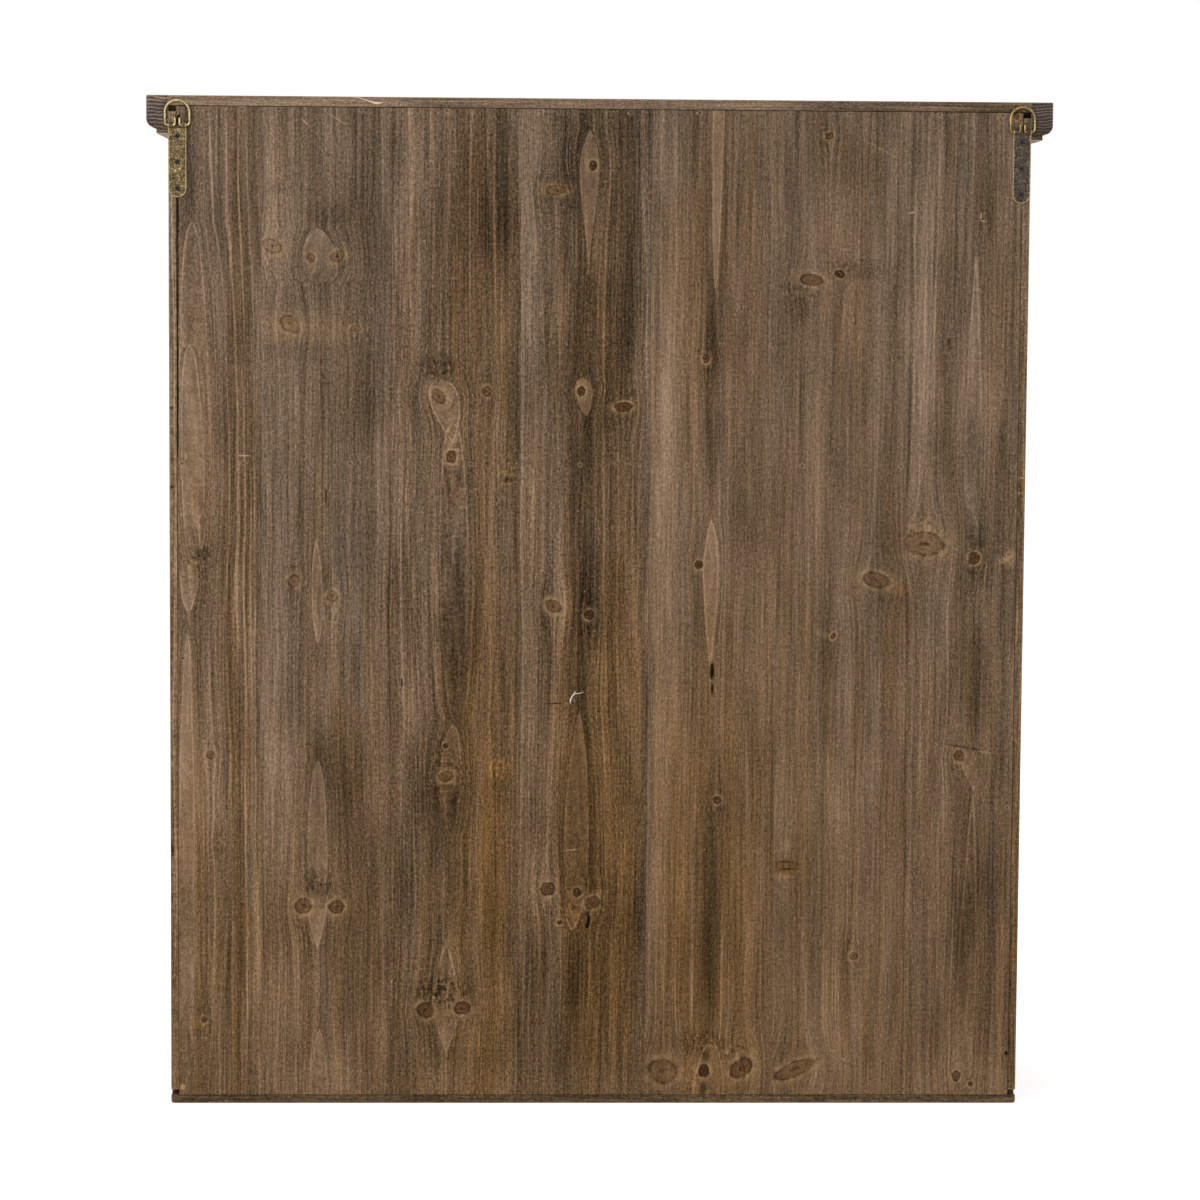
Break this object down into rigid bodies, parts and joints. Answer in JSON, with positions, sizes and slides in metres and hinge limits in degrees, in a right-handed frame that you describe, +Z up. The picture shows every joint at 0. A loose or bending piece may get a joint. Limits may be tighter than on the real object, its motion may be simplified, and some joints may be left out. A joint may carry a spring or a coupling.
{
  "type": "storage cabinet",
  "caption": "Wall-hung wooden storage cabinet with a crown, inset panelled doors, shelves, a staved plank back and ring hangers",
  "frame": {"origin": "centre of the bottom of the whole cabinet's box", "axes": "+Z up; the doors face -Y and the staved back, which the picture shows, faces +Y; +X is to the right of the doors"},
  "size_m": [0.746, 0.2204, 0.838],
  "materials": {
    "back_wood": "brown stain, matte",
    "case_wood": "brown stain, matte",
    "crown_wood": "brown stain, matte",
    "shelf_wood": "brown stain, matte",
    "door_wood": "brown stain, matte",
    "panel_wood": "brown stain, matte",
    "strap_brass": "antiqued, mottled",
    "ring_brass": "satin",
    "knob_brass": "antiqued",
    "hinge_brass": "antiqued",
    "dark_steel": "blackened",
    "plated_steel": "zinc plated",
    "magnet_iron": "matte",
    "catch_plastic": "moulded"
  },
  "bodies": {
    "carcass": {"back_brads": "dark_steel", "back_stave_1": "back_wood", "back_stave_2": "back_wood", "back_stave_3": "back_wood", "back_stave_4": "back_wood", "back_stave_5": "back_wood", "back_stave_6": "back_wood", "back_stave_7": "back_wood", "bottom_board": "case_wood", "catch_case": "catch_plastic", "catch_magnets": "magnet_iron", "crown_front": "crown_wood", "crown_return_left": "crown_wood", "crown_return_right": "crown_wood", "fixed_shelf": "shelf_wood", "hanger_screws": "dark_steel", "hanger_strap_left": "strap_brass", "hanger_strap_right": "strap_brass", "hinge_frame_leaf_left_lower": "hinge_brass", "hinge_frame_leaf_left_upper": "hinge_brass", "hinge_frame_leaf_right_lower": "hinge_brass", "hinge_frame_leaf_right_upper": "hinge_brass", "hinge_frame_screws": "hinge_brass", "hinge_pins": "hinge_brass", "loose_shelf": "shelf_wood", "shelf_pins": "plated_steel", "side_board_left": "case_wood", "side_board_right": "case_wood", "top_board": "case_wood", "top_rail": "case_wood"},
    "door_left": {"door_left_bottom_rail": "door_wood", "door_left_hinge_stile": "door_wood", "door_left_lock_stile": "door_wood", "door_left_lower_panel": "panel_wood", "door_left_middle_rail": "door_wood", "door_left_top_rail": "door_wood", "door_left_upper_panel": "panel_wood", "hinge_door_leaf_left_lower": "hinge_brass", "hinge_door_leaf_left_upper": "hinge_brass", "hinge_door_screws_left": "hinge_brass", "knob_left": "knob_brass", "knob_screw_left": "plated_steel", "strike_plate_left": "plated_steel"},
    "door_right": {"door_right_bottom_rail": "door_wood", "door_right_hinge_stile": "door_wood", "door_right_lock_stile": "door_wood", "door_right_lower_panel": "panel_wood", "door_right_middle_rail": "door_wood", "door_right_top_rail": "door_wood", "door_right_upper_panel": "panel_wood", "hinge_door_leaf_right_lower": "hinge_brass", "hinge_door_leaf_right_upper": "hinge_brass", "hinge_door_screws_right": "hinge_brass", "knob_right": "knob_brass", "knob_screw_right": "plated_steel", "strike_plate_right": "plated_steel"},
    "ring_left": {"hanger_ring_left": "ring_brass"},
    "ring_right": {"hanger_ring_right": "ring_brass"}
  },
  "joints": [
    {"name": "door_left_hinge", "type": "hinge", "parent": "carcass", "child": "door_left", "pos_m": [-0.3389, -0.0869, 0.3957], "axis": [0, 0, -1], "range_deg": [0, 170]},
    {"name": "door_right_hinge", "type": "hinge", "parent": "carcass", "child": "door_right", "pos_m": [0.3389, -0.0869, 0.3957], "axis": [0, 0, 1], "range_deg": [0, 170]},
    {"name": "ring_left_pivot", "type": "hinge", "parent": "carcass", "child": "ring_left", "pos_m": [-0.3476, 0.108, 0.8136], "axis": [-1, 0, 0], "range_deg": [0, 170]},
    {"name": "ring_right_pivot", "type": "hinge", "parent": "carcass", "child": "ring_right", "pos_m": [0.3476, 0.108, 0.8136], "axis": [-1, 0, 0], "range_deg": [0, 170]}
  ]
}
